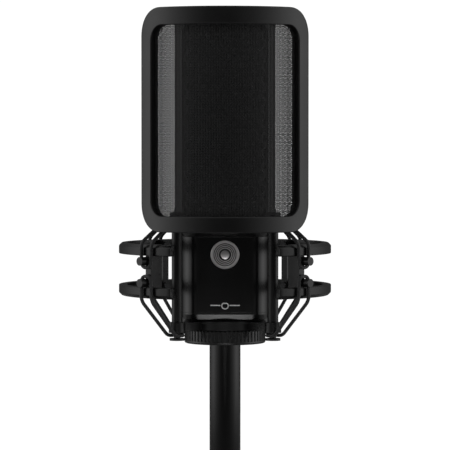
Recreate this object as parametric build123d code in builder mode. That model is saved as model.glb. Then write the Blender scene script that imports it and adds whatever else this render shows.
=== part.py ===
from build123d import *

import os
from math import asin, cos, degrees, radians, sin, sqrt

# Side-address condenser microphone in an elastic shock mount, with a curved pop filter, on a stand tube.
#
# Millimetres. +Z is up and the microphone faces -Y. The origin is the mouth of the stand tube's threaded
# socket, on the tube's axis. The microphone's own axis is vertical and stands MIC_Y from the tube's.

os.makedirs("parts", exist_ok=True)

# ---------------------------------------------------------------- driving dimensions
GAP = 0.05  # radial running clearance between a pin and its hole
MIC_Y = -84.0
mic = Plane((0, MIC_Y, 0))

# microphone
head_width, head_depth, head_corner, head_bulge = 58.0, 47.0, 14.0, 1.5
body_width, body_depth, body_corner, body_bulge = 49.0, 37.6, 10.0, 1.3
foot_z, shell_z, ledge_z, grille_z, top_z = 101.7, 105.6, 149.2, 157.0, 278.0
wall = 2.0
barrel_r, socket_r = 12.5, 8.1
capsule_z, capsule_r = 218.0, 17.0

# outer frame of the shock mount
ring_out, ring_in, ring_h = 61.5, 56.8, 6.3
upper_z, lower_z = 139.3, 115.1  # undersides of the two rings
mouth_half = 29.9  # half of the opening at the front, degrees
front_az, rear_az = 45.0, 42.0  # stations of the bands, degrees from the front and from the back
pivot_z = 130.35
tilt_half = 5.35  # half width of the tongue on the tilt pivot

# inner cradle
post_ring, post_r, neck_r = 38.6, 3.1, 1.9
cap_r, cap_t = 4.3, 1.3
post_low, post_high = 91.7, 162.2  # outer faces of the posts, where the end caps bear
upper_neck, lower_neck = 3.6, 3.2  # lengths of the necks the bands go round
hub_r, hub_z, hub_t = 23.8, 95.6, 5.2
boss_r = 17.0

# elastic bands
band_r = 1.1
band_half = neck_r + band_r + 0.1
band_out = ring_out + band_r + 0.15
peg_up, peg_down = 136.5, 124.2

# pop filter
pop_y = MIC_Y - 8.0  # axis that its curve is struck from
pop_out, pop_back, mesh_t = 56.7, 53.5, 0.3
pop_low, pop_high = 152.8, 279.0
pop_bar_side, pop_bar_top, pop_bar_low = 9.2, 10.0, 9.0
pop_half = degrees(asin(47.4 / pop_out))  # half angle of the frame
pop_corner, pop_window_corner = 16.0, 8.5

# stand tube
tube_r, tube_bore, tube_low, tube_high = 9.5, 8.5, 12.0, 90.0
thread_r, socket_deep = 7.43, 18.0
stud_r, stud_top = 7.9, 112.0


def save(piece, name):
    """Labels a finished piece and writes it as one STEP file."""
    piece.label = name
    export_step(piece, f"parts/{name}.step")


def around(azimuth, radius, z=0.0):
    """Point at an azimuth from the front, counted towards +X, around the microphone's axis."""
    a = radians(azimuth)
    return Vector(radius * sin(a), MIC_Y - radius * cos(a), z)


def station(azimuth, z=0.0):
    """Plane at a band station: x runs outwards, y runs sideways and z is up."""
    a = radians(azimuth)
    return Plane((0, MIC_Y, z), x_dir=(sin(a), -cos(a), 0), z_dir=(0, 0, 1))


stations = {
    "front_left": -front_az,
    "front_right": front_az,
    "rear_left": rear_az - 180.0,
    "rear_right": 180.0 - rear_az,
}


def plan(width, depth, corner, bulge):
    """The microphone's outline from above: bowed front and back, flat sides, rounded corners."""
    with BuildSketch() as outline:
        with BuildLine():
            Polyline((width / 2, -depth / 2), (width / 2, depth / 2))
            ThreePointArc((width / 2, depth / 2), (0, depth / 2 + bulge), (-width / 2, depth / 2))
            Polyline((-width / 2, depth / 2), (-width / 2, -depth / 2))
            ThreePointArc((-width / 2, -depth / 2), (0, -depth / 2 - bulge), (width / 2, -depth / 2))
        make_face()
        fillet(outline.vertices(), corner)
    return outline.sketch


def head_plan(inset=0.0):
    return plan(head_width - 2 * inset, head_depth - 2 * inset, head_corner - inset, head_bulge)


def body_plan(inset=0.0):
    return plan(body_width - 2 * inset, body_depth - 2 * inset, body_corner - inset, body_bulge)


def bottom_edges(builder):
    return builder.faces().sort_by(Axis.Z)[0].edges()


def top_edges(builder):
    return builder.faces().sort_by(Axis.Z)[-1].edges()


def ring_solid(outer, inner, z, height, y=MIC_Y):
    """Plain ring standing on z, on a vertical axis."""
    with BuildPart() as ring:
        with BuildSketch(Plane((0, y, z))):
            Circle(outer)
            Circle(inner, mode=Mode.SUBTRACT)
        extrude(amount=height)
    return ring.part


def shell_between(outer, inner, z, height):
    """Wall between two outlines, standing on z in the microphone's frame."""
    with BuildPart() as piece:
        add(extrude(mic.offset(z) * outer, amount=height))
        add(extrude(mic.offset(z) * inner, amount=height), mode=Mode.SUBTRACT)
    return piece.part


# ---------------------------------------------------------------- stand tube
lip_h = 12.0  # visible length of the socket's collar

tube = ring_solid(tube_r, tube_bore, tube_low, tube_high - tube_low, y=0)
save(tube, "stand_tube")

with BuildPart() as tube_socket:
    with BuildSketch():
        Circle(tube_r)
    extrude(amount=lip_h)
    chamfer(bottom_edges(tube_socket), 0.6)
    with BuildSketch(Plane.XY.offset(lip_h)):
        Circle(tube_bore)
    extrude(amount=lip_h)
    with BuildSketch():
        Circle(thread_r)
    extrude(amount=socket_deep, mode=Mode.SUBTRACT)
save(tube_socket.part, "tube_socket")

with BuildPart() as tube_stud:
    with BuildSketch(Plane.XY.offset(tube_high - 14)):
        Circle(tube_bore)
    extrude(amount=14)
    with BuildSketch(Plane.XY.offset(tube_high)):
        Circle(tube_r)
    extrude(amount=2)
    with BuildSketch(Plane.XY.offset(tube_high + 2)):
        Circle(stud_r)
    extrude(amount=stud_top - tube_high - 2)
    chamfer(top_edges(tube_stud), 0.8)
save(tube_stud.part, "tube_stud")


# ---------------------------------------------------------------- swivel, pivot bolt and knob
base_r, base_low, base_top = 11.5, tube_high + 2.3, stud_top + 2.0
tongue_half_y, bolt_r = 9.0, 3.0
ear_gap, ear_t, ear_r = 0.35, 5.0, 8.5

with BuildPart() as swivel_base:
    with BuildSketch(Plane.XY.offset(base_low)):
        Circle(base_r)
    extrude(amount=base_top - base_low)
    chamfer(top_edges(swivel_base), 2.0)
    chamfer(bottom_edges(swivel_base), 0.6)
    with BuildSketch(Plane.YZ.offset(-tilt_half)):
        with Locations((0, pivot_z)):
            Circle(tongue_half_y)
        with Locations((0, (pivot_z + base_top - 3) / 2)):
            Rectangle(2 * tongue_half_y, pivot_z - base_top + 3)
    extrude(amount=2 * tilt_half)
    with BuildSketch(Plane.XY.offset(base_low)):
        Circle(stud_r + GAP)
    extrude(amount=stud_top - base_low + 0.4, mode=Mode.SUBTRACT)
    with BuildSketch(Plane.YZ.offset(-tilt_half)):
        with Locations((0, pivot_z)):
            Circle(bolt_r + GAP)
    extrude(amount=2 * tilt_half, mode=Mode.SUBTRACT)
save(swivel_base.part, "swivel_base")

ear_in = tilt_half + ear_gap
ear_out = ear_in + ear_t
knob_in = ear_out + 0.4
knob_out = knob_in + 13.0
knob_r, knob_lobes = 10.5, 8

with BuildPart() as pivot_bolt:
    with BuildSketch(Plane.YZ.offset(-ear_out - 3.5)):
        with Locations((0, pivot_z)):
            RegularPolygon(5.4, 6)
    extrude(amount=3.5)
    with BuildSketch(Plane.YZ.offset(-ear_out)):
        with Locations((0, pivot_z)):
            Circle(bolt_r)
    extrude(amount=ear_out + knob_out - 3.0)
save(pivot_bolt.part, "pivot_bolt")

with BuildPart() as tension_knob:
    with BuildSketch(Plane.YZ.offset(knob_in)):
        with Locations((0, pivot_z)):
            Circle(6.5)
    extrude(amount=3.0)
    with BuildSketch(Plane.YZ.offset(knob_in + 3.0)):
        with Locations((0, pivot_z)):
            Circle(knob_r)
            with PolarLocations(knob_r + 1.6, knob_lobes):
                Circle(2.8, mode=Mode.SUBTRACT)
    extrude(amount=knob_out - knob_in - 3.0)
    chamfer(tension_knob.faces().sort_by(Axis.X)[-1].edges(), 0.8)
    with BuildSketch(Plane.YZ.offset(knob_in)):
        with Locations((0, pivot_z)):
            Circle(bolt_r + GAP)
    extrude(amount=knob_out - knob_in - 2.0, mode=Mode.SUBTRACT)
save(tension_knob.part, "tension_knob")


# ---------------------------------------------------------------- yoke and rings
yoke_half, yoke_face = 14.0, -22.0
ring_chamfer = 1.7
screw_r, screw_head_r = 1.45, 2.6
yoke_screw_x = 9.5

with BuildPart() as yoke:
    with BuildSketch(Plane.YZ.offset(-yoke_half)):
        with BuildLine():
            Polyline(
                (-30.0, lower_z),
                (yoke_face, lower_z),
                (-18.5, pivot_z - 9.0),
                (-18.5, pivot_z + 9.0),
                (yoke_face, upper_z + ring_h),
                (-30.0, upper_z + ring_h),
                close=True,
            )
        make_face()
    extrude(amount=2 * yoke_half)
    with BuildSketch(Plane.YZ.offset(-ear_out)):
        with Locations((0, pivot_z)):
            Circle(ear_r)
        with Locations((-10.0, pivot_z)):
            Rectangle(20.0, 2 * ear_r)
    extrude(amount=2 * ear_out)
    with BuildSketch(Plane.YZ.offset(-ear_in)):
        with Locations((-18.5 + 15.0, pivot_z)):
            Rectangle(30.0, 2 * ear_r + 5.0)
    extrude(amount=2 * ear_in, mode=Mode.SUBTRACT)
    with BuildSketch(Plane((0, MIC_Y, lower_z))):
        Circle(ring_out)
    extrude(amount=upper_z + ring_h - lower_z, mode=Mode.SUBTRACT)
    with BuildSketch(Plane.YZ.offset(-ear_out)):
        with Locations((0, pivot_z)):
            Circle(bolt_r)
    extrude(amount=ear_out, mode=Mode.SUBTRACT)
    with BuildSketch(Plane.YZ):
        with Locations((0, pivot_z)):
            Circle(bolt_r + GAP)
    extrude(amount=ear_out, mode=Mode.SUBTRACT)
    for x in (-yoke_screw_x, yoke_screw_x):
        for z in (lower_z + ring_h / 2, upper_z + ring_h / 2):
            with BuildSketch(Plane((x, -30.0, z), x_dir=(1, 0, 0), z_dir=(0, 1, 0))):
                Circle(screw_r)
            extrude(amount=20.0, mode=Mode.SUBTRACT)
            with BuildSketch(Plane((x, yoke_face - 0.6, z), x_dir=(1, 0, 0), z_dir=(0, 1, 0))):
                Circle(screw_head_r)
            extrude(amount=20.0, mode=Mode.SUBTRACT)
save(yoke.part, "yoke")


def open_ring(z, outer_edge_up):
    """Ring open at the front, with its outer edge broken on the side away from the columns."""
    with BuildPart() as ring:
        with BuildSketch(Plane((0, MIC_Y, z))):
            Circle(ring_out)
            Circle(ring_in, mode=Mode.SUBTRACT)
        extrude(amount=ring_h)
        face = ring.faces().sort_by(Axis.Z)[-1 if outer_edge_up else 0]
        chamfer(face.edges().sort_by(SortBy.LENGTH)[-1], ring_chamfer)
        with BuildSketch(Plane((0, MIC_Y, z))):
            reach = 2 * ring_out
            with BuildLine():
                a = radians(mouth_half)
                x, y = reach * sin(a), -reach * cos(a)
                Polyline((0, 0), (x, y), (-x, y), close=True)
            make_face()
        extrude(amount=ring_h, mode=Mode.SUBTRACT)
        for x in (-yoke_screw_x, yoke_screw_x):
            centre = (x, -30.0, z + ring_h / 2)
            with BuildSketch(Plane(centre, x_dir=(1, 0, 0), z_dir=(0, 1, 0))):
                Circle(screw_r)
            extrude(amount=10.0, mode=Mode.SUBTRACT)
        for azimuth in stations.values():
            with BuildSketch(Plane(around(azimuth, ring_in - 2, z + ring_h / 2),
                                   x_dir=(0, 0, 1), z_dir=around(azimuth, 1) - around(azimuth, 0))):
                Circle(1.1)
            extrude(amount=5.0, mode=Mode.SUBTRACT)
    return ring.part


save(open_ring(upper_z, True), "upper_ring")
save(open_ring(lower_z, False), "lower_ring")


# ---------------------------------------------------------------- columns and their screws
column_w, column_in, column_out = 4.2, 52.5, 61.2
peg_r, peg_out = 2.45, 68.0


def column(azimuth):
    """Rib standing inside both rings and filling the gap between them, with two pegs for the bands."""
    with BuildPart() as rib:
        with BuildSketch(station(azimuth, lower_z)):
            with Locations(((column_in + ring_in) / 2, 0)):
                Rectangle(ring_in - column_in - 0.2, column_w)
        extrude(amount=upper_z + ring_h - lower_z)
        with BuildSketch(station(azimuth, lower_z + ring_h)):
            with Locations(((column_in + 1 + column_out) / 2, 0)):
                Rectangle(column_out - column_in - 1, column_w)
        extrude(amount=upper_z - lower_z - ring_h)
        outward = around(azimuth, 1) - around(azimuth, 0)
        for z in (peg_down, peg_up):
            with BuildSketch(Plane(around(azimuth, column_out - 1, z), x_dir=(0, 0, 1), z_dir=outward)):
                Circle(peg_r)
            extrude(amount=peg_out - column_out + 1)
        for z in (lower_z + ring_h / 2, upper_z + ring_h / 2):
            with BuildSketch(Plane(around(azimuth, column_in - 1, z), x_dir=(0, 0, 1), z_dir=outward)):
                Circle(1.1)
            extrude(amount=8.0, mode=Mode.SUBTRACT)
    return rib.part


for name, azimuth in stations.items():
    save(column(azimuth), f"column_{name}")

with BuildPart() as frame_screws:
    for azimuth in stations.values():
        outward = around(azimuth, 1) - around(azimuth, 0)
        for z in (lower_z + ring_h / 2, upper_z + ring_h / 2):
            with BuildSketch(Plane(around(azimuth, column_in, z), x_dir=(0, 0, 1), z_dir=outward)):
                Circle(1.05)
            extrude(amount=6.5)
            with BuildSketch(Plane(around(azimuth, column_in - 1.1, z), x_dir=(0, 0, 1), z_dir=outward)):
                Circle(1.9)
            extrude(amount=1.1)
    for x in (-yoke_screw_x, yoke_screw_x):
        for z in (lower_z + ring_h / 2, upper_z + ring_h / 2):
            with BuildSketch(Plane((x, -28.0, z), x_dir=(1, 0, 0), z_dir=(0, 1, 0))):
                Circle(screw_r - 0.05)
            extrude(amount=28.0 + yoke_face - 0.6)
            with BuildSketch(Plane((x, yoke_face - 0.6, z), x_dir=(1, 0, 0), z_dir=(0, 1, 0))):
                Circle(screw_head_r - 0.1)
            extrude(amount=1.6)
save(frame_screws.part, "frame_screws")


# ---------------------------------------------------------------- cradle
shoulder_r, shoulder_h = 4.6, 3.5
arm_w, barrel_clear = 8.0, 0.5
lower_seat = post_low + lower_neck
upper_seat = post_high - upper_neck

with BuildPart() as cradle_hub:
    with BuildSketch(Plane((0, MIC_Y, hub_z))):
        Circle(hub_r)
    extrude(amount=hub_t)
    chamfer(top_edges(cradle_hub), 1.2)
    for azimuth in stations.values():
        with BuildSketch(station(azimuth, hub_z)):
            with Locations((post_ring / 2 + 6, 0)):
                Rectangle(post_ring - 12, arm_w)
        extrude(amount=hub_t - 0.4)
        with BuildSketch(station(azimuth, lower_seat)):
            with Locations((post_ring, 0)):
                Circle(4.8)
        extrude(amount=hub_z + hub_t - lower_seat)
    for azimuth in stations.values():
        with BuildSketch(station(azimuth, lower_seat)):
            with Locations((post_ring, 0)):
                Circle(post_r)
        extrude(amount=10.0, mode=Mode.SUBTRACT)
    with BuildSketch(Plane((0, MIC_Y, hub_z))):
        Circle(barrel_r + barrel_clear)
    extrude(amount=hub_t, mode=Mode.SUBTRACT)
save(cradle_hub.part, "cradle_hub")

save(ring_solid(boss_r, barrel_r + barrel_clear, hub_z + hub_t, foot_z - hub_z - hub_t - 0.02), "seat_pad")


def post(azimuth):
    """Turned post: shaft, upper shoulder, and a neck at each end for the bands."""
    profile = [
        (0, post_low),
        (neck_r, post_low),
        (neck_r, lower_seat),
        (post_r, lower_seat),
        (post_r, upper_seat - shoulder_h),
        (shoulder_r, upper_seat - shoulder_h + 0.8),
        (shoulder_r, upper_seat),
        (neck_r, upper_seat),
        (neck_r, post_high),
        (0, post_high),
    ]
    place = around(azimuth, post_ring)
    with BuildPart() as turned:
        with BuildSketch(Plane((place.X, place.Y, 0), x_dir=(1, 0, 0), z_dir=(0, -1, 0))):
            with BuildLine():
                Polyline(*profile, close=True)
            make_face()
        revolve(axis=Axis((place.X, place.Y, 0), (0, 0, 1)))
        for z in (post_low, post_high - 3.0):
            with BuildSketch(Plane((place.X, place.Y, z))):
                Circle(1.0)
            extrude(amount=3.0, mode=Mode.SUBTRACT)
    return turned.part


for name, azimuth in stations.items():
    save(post(azimuth), f"post_{name}")

with BuildPart() as post_caps:
    for azimuth in stations.values():
        place = around(azimuth, post_ring)
        for head_z, shank_z in ((post_high, post_high - 2.8), (post_low - cap_t, post_low)):
            with BuildSketch(Plane((place.X, place.Y, head_z))):
                Circle(cap_r)
            extrude(amount=cap_t)
            with BuildSketch(Plane((place.X, place.Y, shank_z))):
                Circle(0.95)
            extrude(amount=2.8)
save(post_caps.part, "post_caps")


# ---------------------------------------------------------------- lock collar
collar_r, collar_low, collar_top = 23.5, 87.2, 95.2
flange_h, teeth, tooth_r = 1.7, 58, 0.8

with BuildPart() as lock_collar:
    with BuildSketch(Plane((0, MIC_Y, collar_low))):
        Circle(collar_r)
    extrude(amount=collar_top - collar_low)
    fillet(bottom_edges(lock_collar), 1.0)
    chamfer(top_edges(lock_collar), 0.5)
    with BuildSketch(Plane((0, MIC_Y, collar_low + flange_h))):
        with PolarLocations(collar_r + 0.12, teeth):
            Circle(tooth_r)
    extrude(amount=collar_top - collar_low - flange_h, mode=Mode.SUBTRACT)
    with BuildSketch(Plane((0, MIC_Y, collar_low))):
        Circle(barrel_r + GAP)
    extrude(amount=collar_top - collar_low, mode=Mode.SUBTRACT)
save(lock_collar.part, "lock_collar")


# ---------------------------------------------------------------- elastic bands
loop_half, loop_end = 4.2, 3.65


def band(azimuth, upper):
    """Closed loop of cord: round the post's neck, over the ring's outer face and round the peg."""
    seat = upper_seat + upper_neck / 2 if upper else post_low + lower_neck / 2
    corner = upper_z + ring_h + 1.0 if upper else lower_z - 1.0
    peg = peg_up - peg_r - band_r - 0.15 if upper else peg_down + peg_r + band_r + 0.15
    inner = post_ring - band_half
    half = [
        (inner, band_half - 0.1, seat),
        (post_ring + 4.3, band_half + 0.2, seat),
        (band_out, loop_half, corner),
        (band_out, loop_end, peg),
    ]
    plane = station(azimuth)
    outline = [plane.from_local_coords(p) for p in half]
    outline += [plane.from_local_coords((u, -v, z)) for u, v, z in reversed(half)]
    bends = [2.8, 2.0, 3.0, 3.2]
    with BuildPart() as loop:
        with BuildLine() as path:
            FilletPolyline(*outline, radius=bends + bends[::-1], close=True)
        start = path.wires()[0]
        with BuildSketch(Plane(start @ 0.003, z_dir=start % 0.003)):
            Circle(band_r)
        sweep()
    return loop.part


for name, azimuth in stations.items():
    save(band(azimuth, True), f"band_upper_{name}")
    save(band(azimuth, False), f"band_lower_{name}")


# ---------------------------------------------------------------- pop filter
pop = Plane((0, pop_y, 0))
window_half = pop_half - degrees(pop_bar_side / pop_out)
clamp_t = 2.0
boss_r, boss_height, boss_x = 3.0, 155.9, 25.2
magnet_r, magnet_t = 2.2, 2.0
boss_back = MIC_Y - post_ring * cos(radians(front_az)) - shoulder_r - 0.2


def tan_deg(angle):
    return sin(radians(angle)) / cos(radians(angle))


def fan(half, low, high, corner):
    """Radial wedge in front of the pop filter's axis, with rounded corners as seen unrolled."""
    near, far = 12.0, 80.0
    inner_half = half - degrees(corner / pop_out)
    with BuildPart() as wedge:
        for depth in (near, far):
            reach = depth * tan_deg(half)
            flat = depth * tan_deg(inner_half)
            with BuildSketch(Plane((0, pop_y - depth, 0), x_dir=(1, 0, 0), z_dir=(0, -1, 0))):
                with BuildLine():
                    for start, x, z in ((0, flat, high - corner), (90, -flat, high - corner),
                                        (180, -flat, low + corner), (270, flat, low + corner)):
                        EllipticalCenterArc((x, z), reach - flat, corner, start_angle=start, arc_size=90)
                    Line((flat, high), (-flat, high))
                    Line((-reach, high - corner), (-reach, low + corner))
                    Line((-flat, low), (flat, low))
                    Line((reach, low + corner), (reach, high - corner))
                make_face()
        loft(ruled=True)
    return wedge.part


def curved_sheet(outer, inner, *fans):
    """Part of a thick cylinder wall cut out by the first wedge and opened by the others."""
    with BuildPart() as sheet:
        with BuildSketch(pop.offset(pop_low - 5)):
            Circle(outer)
            Circle(inner, mode=Mode.SUBTRACT)
        extrude(amount=pop_high - pop_low + 10)
        add(fans[0], mode=Mode.INTERSECT)
        for opening in fans[1:]:
            add(opening, mode=Mode.SUBTRACT)
    return sheet.part


frame_fan = fan(pop_half, pop_low, pop_high, pop_corner)
window_fan = fan(window_half, pop_low + pop_bar_low, pop_high - pop_bar_top, pop_window_corner)
clamp_fan = fan(pop_half - 1.6, pop_low + 1.5, pop_high - 1.5, pop_corner - 1.0)
mesh_fan = fan(pop_half - 3.2, pop_low + 3.0, pop_high - 3.0, pop_corner - 2.5)

save(curved_sheet(pop_out, pop_back, frame_fan, window_fan), "pop_front_frame")
save(curved_sheet(pop_back, pop_back - mesh_t, mesh_fan), "pop_mesh_front")
save(curved_sheet(pop_back - clamp_t - mesh_t, pop_back - clamp_t - 2 * mesh_t, mesh_fan), "pop_mesh_rear")

with BuildPart() as pop_rear_frame:
    add(curved_sheet(pop_back - mesh_t, pop_back - mesh_t - clamp_t, clamp_fan, window_fan))
    for x in (-boss_x, boss_x):
        y = pop_y - sqrt((pop_back - mesh_t - 1.0) ** 2 - boss_x**2)
        with BuildSketch(Plane((x, y, boss_height), x_dir=(1, 0, 0), z_dir=(0, 1, 0))):
            Circle(boss_r)
        extrude(amount=boss_back - y)
    with BuildSketch(pop.offset(pop_low)):
        Circle(pop_back - mesh_t - 1.0 + 40)
        Circle(pop_back - mesh_t, mode=Mode.SUBTRACT)
    extrude(amount=20, mode=Mode.SUBTRACT)
    with BuildSketch(pop.offset(pop_low + 3.0)):
        Circle(pop_back - clamp_t - mesh_t)
        Circle(pop_back - clamp_t - 2 * mesh_t, mode=Mode.SUBTRACT)
    extrude(amount=20, mode=Mode.SUBTRACT)
    for x in (-boss_x, boss_x):
        with BuildSketch(Plane((x, boss_back, boss_height), x_dir=(1, 0, 0), z_dir=(0, -1, 0))):
            Circle(magnet_r)
        extrude(amount=magnet_t, mode=Mode.SUBTRACT)
save(pop_rear_frame.part, "pop_rear_frame")

with BuildPart() as pop_magnets:
    for x in (-boss_x, boss_x):
        with BuildSketch(Plane((x, boss_back, boss_height), x_dir=(1, 0, 0), z_dir=(0, -1, 0))):
            Circle(magnet_r)
        extrude(amount=magnet_t)
save(pop_magnets.part, "pop_magnets")


# ---------------------------------------------------------------- microphone: base
sleeve_low, insert_z, cap_top = 88.6, 103.0, 109.0
flare_z = 153.2
foot_h, foot_side, foot_front = 2.9, 0.5, 0.8  # chamfer round the foot: height, and inset by face
base_screws = [(-15.0, -9.5), (15.0, -9.5), (-15.0, 9.5), (15.0, 9.5)]

with BuildPart() as base_cap:
    with BuildSketch(mic.offset(foot_z)):
        width, depth = body_width - 2 * foot_side, body_depth - 2 * foot_front
        add(plan(width, depth, body_corner - foot_front, body_bulge))
    with BuildSketch(mic.offset(foot_z + foot_h)):
        add(body_plan())
    loft(ruled=True)
    add(extrude(mic.offset(foot_z + foot_h) * body_plan(), amount=shell_z - foot_z - foot_h))
    add(extrude(mic.offset(shell_z) * body_plan(wall), amount=cap_top - shell_z))
    with BuildSketch(mic.offset(foot_z)):
        Circle(barrel_r)
    extrude(amount=cap_top - foot_z, mode=Mode.SUBTRACT)
    for x, y in base_screws:
        with BuildSketch(Plane((x, MIC_Y + y, foot_z))):
            Circle(1.5)
        extrude(amount=cap_top - foot_z, mode=Mode.SUBTRACT)
        with BuildSketch(Plane((x, MIC_Y + y, foot_z))):
            Circle(2.8)
        extrude(amount=2.2, mode=Mode.SUBTRACT)
save(base_cap.part, "base_cap")

with BuildPart() as connector_sleeve:
    with BuildSketch(mic.offset(sleeve_low)):
        Circle(barrel_r)
    extrude(amount=cap_top - sleeve_low)
    chamfer(bottom_edges(connector_sleeve), 0.6)
    with BuildSketch(mic.offset(sleeve_low)):
        Circle(socket_r)
    extrude(amount=cap_top - sleeve_low, mode=Mode.SUBTRACT)
save(connector_sleeve.part, "connector_sleeve")

pin_circle, pin_r = 4.35, 1.2
pin_angles = (-45.0, 45.0, 180.0)

with BuildPart() as connector_insert:
    with BuildSketch(mic.offset(insert_z)):
        Circle(socket_r)
    extrude(amount=4.0)
    for azimuth in pin_angles:
        with BuildSketch(Plane(around(azimuth, pin_circle, insert_z))):
            Circle(pin_r)
        extrude(amount=4.0, mode=Mode.SUBTRACT)
save(connector_insert.part, "connector_insert")

with BuildPart() as contact_pins:
    for azimuth in pin_angles:
        with BuildSketch(Plane(around(azimuth, pin_circle, sleeve_low + 2.0))):
            Circle(pin_r)
        extrude(amount=cap_top - sleeve_low)
save(contact_pins.part, "contact_pins")

with BuildPart() as base_screw_set:
    for x, y in base_screws:
        with BuildSketch(Plane((x, MIC_Y + y, foot_z + 0.3))):
            Circle(2.7)
        extrude(amount=1.9)
        with BuildSketch(Plane((x, MIC_Y + y, foot_z + 2.2))):
            Circle(1.45)
        extrude(amount=cap_top - foot_z - 2.2)
save(base_screw_set.part, "base_screws")


# ---------------------------------------------------------------- microphone: body, badge, switches
switch_low, switch_high, switch_x = 127.0, 143.0, 11.0
badge_r, badge_z = 8.25, 139.05
front_y = MIC_Y - body_depth / 2 - body_bulge
back_y = MIC_Y + body_depth / 2 + body_bulge


def lofted(low_plan, low_z, high_plan, high_z):
    return loft([mic.offset(low_z) * low_plan, mic.offset(high_z) * high_plan])


with BuildPart() as body_shell:
    add(extrude(mic.offset(shell_z) * body_plan(), amount=ledge_z - shell_z))
    add(lofted(body_plan(), ledge_z, head_plan(), flare_z))
    add(extrude(mic.offset(flare_z) * head_plan(), amount=grille_z - flare_z))
    add(extrude(mic.offset(shell_z) * body_plan(wall), amount=ledge_z - shell_z), mode=Mode.SUBTRACT)
    add(lofted(body_plan(wall), ledge_z, head_plan(wall), flare_z), mode=Mode.SUBTRACT)
    add(extrude(mic.offset(flare_z) * head_plan(wall), amount=grille_z - flare_z), mode=Mode.SUBTRACT)
    with BuildSketch(Plane((0, MIC_Y, (switch_low + switch_high) / 2), x_dir=(1, 0, 0), z_dir=(0, 1, 0))):
        RectangleRounded(2 * switch_x, switch_high - switch_low, 2.0)
    extrude(amount=30, mode=Mode.SUBTRACT)
    with BuildSketch(Plane((0, front_y - 1, badge_z), x_dir=(1, 0, 0), z_dir=(0, 1, 0))):
        Circle(badge_r)
    extrude(amount=1.6, mode=Mode.SUBTRACT)
save(body_shell.part, "body_shell")

with BuildPart() as badge:
    with BuildSketch(Plane((0, front_y + 0.6, badge_z), x_dir=(1, 0, 0), z_dir=(0, -1, 0))):
        Circle(badge_r - 0.05)
    extrude(amount=1.1)
    chamfer(badge.faces().sort_by(Axis.Y)[0].edges(), 0.25)
save(badge.part, "badge")

plate_back = back_y - 0.9
slot_w, slot_h = 7.0, 2.6
pad_z, cut_z, travel = 138.6, 131.4, 3.0

with BuildPart() as switch_plate:
    centre = (0, plate_back - 2.0, (switch_low + switch_high) / 2)
    with BuildSketch(Plane(centre, x_dir=(1, 0, 0), z_dir=(0, 1, 0))):
        RectangleRounded(2 * switch_x - 0.1, switch_high - switch_low - 0.1, 1.9)
    extrude(amount=2.0)
    for z in (pad_z, cut_z):
        with BuildSketch(Plane((0, plate_back - 2.0, z), x_dir=(1, 0, 0), z_dir=(0, 1, 0))):
            RectangleRounded(slot_w, slot_h, 0.6)
        extrude(amount=2.0, mode=Mode.SUBTRACT)
save(switch_plate.part, "switch_plate")


def slider(z):
    """Switch actuator: a flange behind the plate and a ribbed finger tab through its slot."""
    with BuildPart() as tab:
        with BuildSketch(Plane((-travel / 2, plate_back - 3.6, z), x_dir=(1, 0, 0), z_dir=(0, 1, 0))):
            Rectangle(7.0, 4.4)
        extrude(amount=1.2)
        with BuildSketch(Plane((-travel / 2, plate_back - 2.6, z), x_dir=(1, 0, 0), z_dir=(0, 1, 0))):
            Rectangle(3.2, 1.9)
        extrude(amount=3.4)
        for x in (-0.9, 0, 0.9):
            with BuildSketch(Plane((x - travel / 2, plate_back + 0.5, z), x_dir=(1, 0, 0), z_dir=(0, 1, 0))):
                Rectangle(0.3, 1.9)
            extrude(amount=0.3, mode=Mode.SUBTRACT)
    return tab.part


save(slider(pad_z), "pad_switch")
save(slider(cut_z), "low_cut_switch")


# ---------------------------------------------------------------- microphone: head
window_x, sill, crown = 24.4, 160.8, 271.5
skin, screen_inset, screen_t = 1.2, 3.4, 0.5

with BuildPart() as head_frame:
    add(extrude(mic.offset(grille_z) * head_plan(), amount=top_z - grille_z))
    chamfer(top_edges(head_frame), 3.2)
    add(extrude(mic.offset(grille_z) * head_plan(wall), amount=top_z - grille_z - 3.4), mode=Mode.SUBTRACT)
    with BuildSketch(Plane((0, MIC_Y, (sill + crown) / 2), x_dir=(1, 0, 0), z_dir=(0, 1, 0))):
        RectangleRounded(2 * window_x, crown - sill, 6.0)
    extrude(amount=60, both=True, mode=Mode.SUBTRACT)
save(head_frame.part, "head_frame")


def grille(front):
    """Bowed grille panel that fills one window of the head frame."""
    with BuildPart() as panel:
        add(extrude(mic.offset(sill) * head_plan(0.4), amount=crown - sill))
        add(extrude(mic.offset(sill) * head_plan(0.4 + skin), amount=crown - sill), mode=Mode.SUBTRACT)
        middle = (sill + crown) / 2
        with BuildSketch(Plane((0, MIC_Y, middle), x_dir=(1, 0, 0), z_dir=(0, -1 if front else 1, 0))):
            RectangleRounded(2 * window_x - 0.1, crown - sill - 0.1, 5.9)
        extrude(amount=60, mode=Mode.INTERSECT)
    return panel.part


save(grille(True), "front_grille")
save(grille(False), "rear_grille")

screen_low, screen_high = grille_z + 1.0, top_z - 3.6
screen_out, screen_in = head_plan(screen_inset), head_plan(screen_inset + screen_t)
save(shell_between(screen_out, screen_in, screen_low, screen_high - screen_low), "inner_screen")


# ---------------------------------------------------------------- capsule
def disc(y, thickness, outer, inner=0.0):
    """Round slice of the capsule, facing the front."""
    with BuildPart() as piece:
        with BuildSketch(Plane((0, MIC_Y + y, capsule_z), x_dir=(1, 0, 0), z_dir=(0, 1, 0))):
            Circle(outer)
            if inner:
                Circle(inner, mode=Mode.SUBTRACT)
            with PolarLocations(capsule_r - 1.9, 8):
                Circle(0.65, mode=Mode.SUBTRACT)
        extrude(amount=thickness)
    return piece.part


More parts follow.
